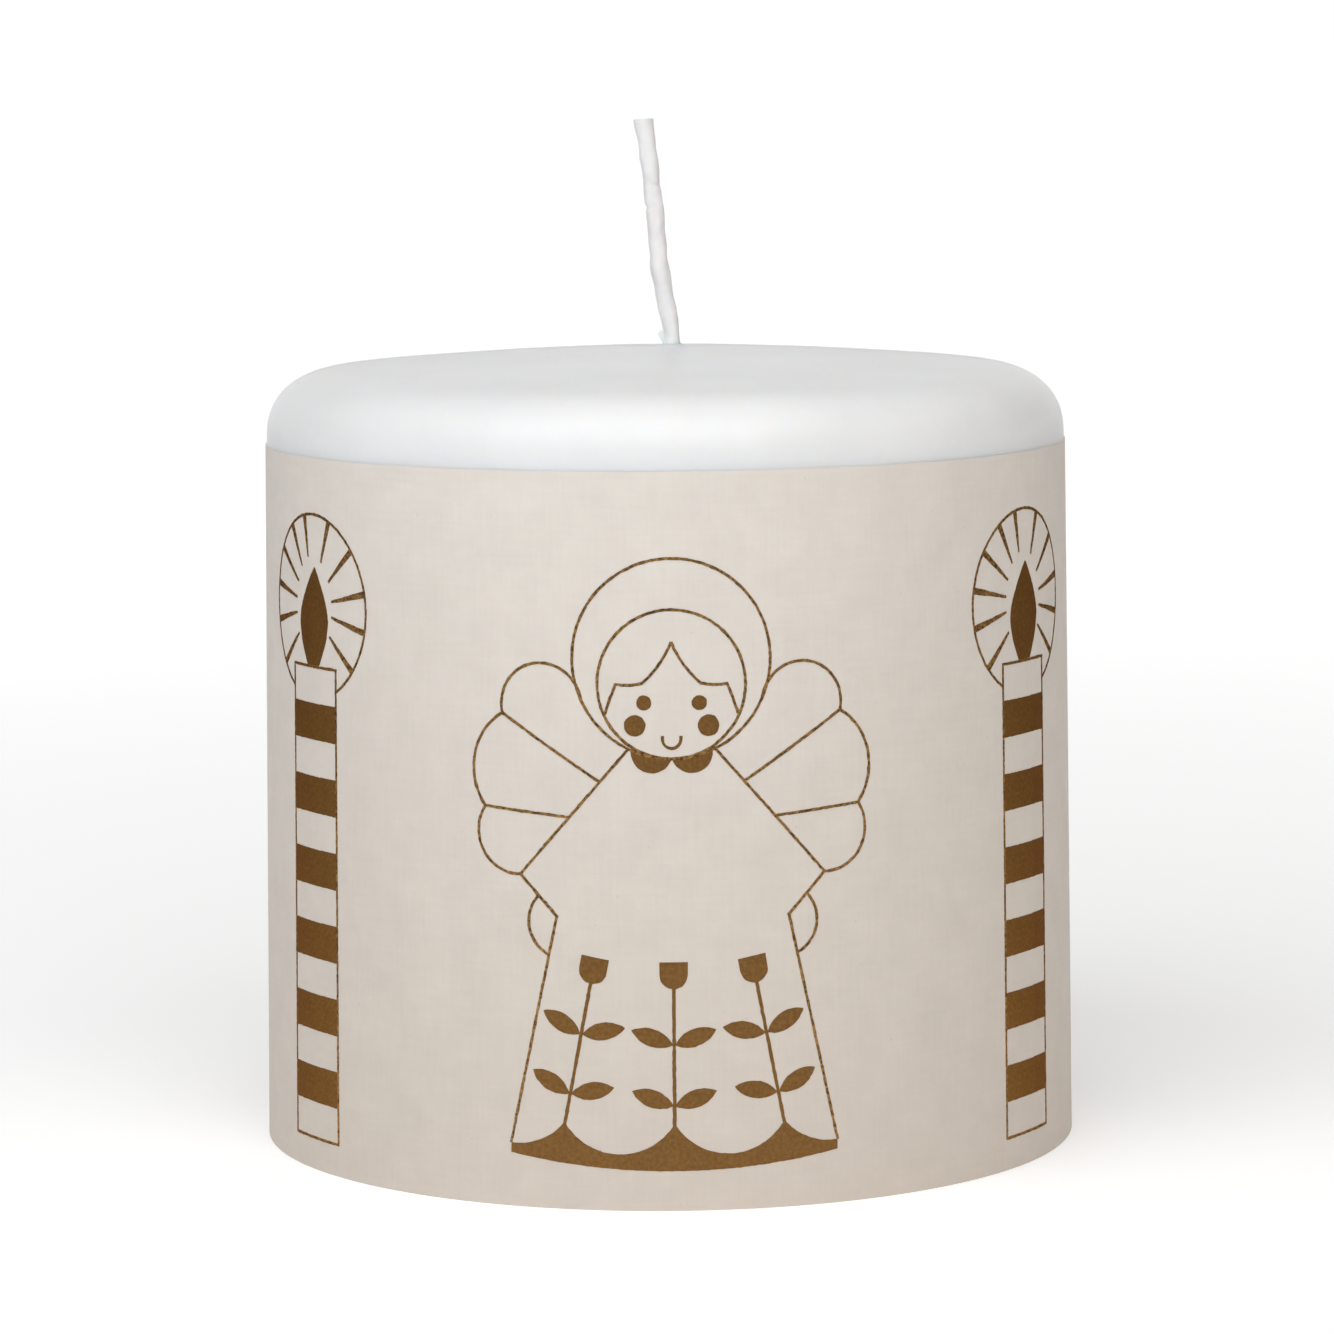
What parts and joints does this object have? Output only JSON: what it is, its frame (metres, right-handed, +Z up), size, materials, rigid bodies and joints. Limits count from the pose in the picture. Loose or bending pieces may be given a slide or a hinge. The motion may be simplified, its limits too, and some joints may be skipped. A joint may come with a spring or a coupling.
{
  "type": "unity candle",
  "caption": "Short round pillar candle of white wax with a rounded shoulder, a waxed wick and a beige film printed with bronze line-art figures round its side.",
  "frame": {"origin": "middle of the base, on the surface that the candle stands on", "axes": "+Z up along the pillar, -Y towards the front motif, +X to its right as seen from the front"},
  "size_m": [0.08, 0.08, 0.0999],
  "materials": {
    "wax": "satin",
    "waxed_cotton": "satin",
    "tinned_steel": "satin",
    "film": "matte",
    "bronze_ink": "satin"
  },
  "bodies": {
    "root": {"wax_body": "wax", "repour_plug": "wax", "wick": "waxed_cotton", "wick_sustainer": "tinned_steel", "printed_wrap": "film", "ink_angel_front_lines": "bronze_ink", "ink_angel_front_solids": "bronze_ink", "ink_candle_right_lines": "bronze_ink", "ink_candle_right_solids": "bronze_ink", "ink_angel_rear_right_lines": "bronze_ink", "ink_angel_rear_right_solids": "bronze_ink", "ink_candle_rear_lines": "bronze_ink", "ink_candle_rear_solids": "bronze_ink", "ink_angel_rear_left_lines": "bronze_ink", "ink_angel_rear_left_solids": "bronze_ink", "ink_candle_left_lines": "bronze_ink", "ink_candle_left_solids": "bronze_ink"}
  },
  "joints": []
}
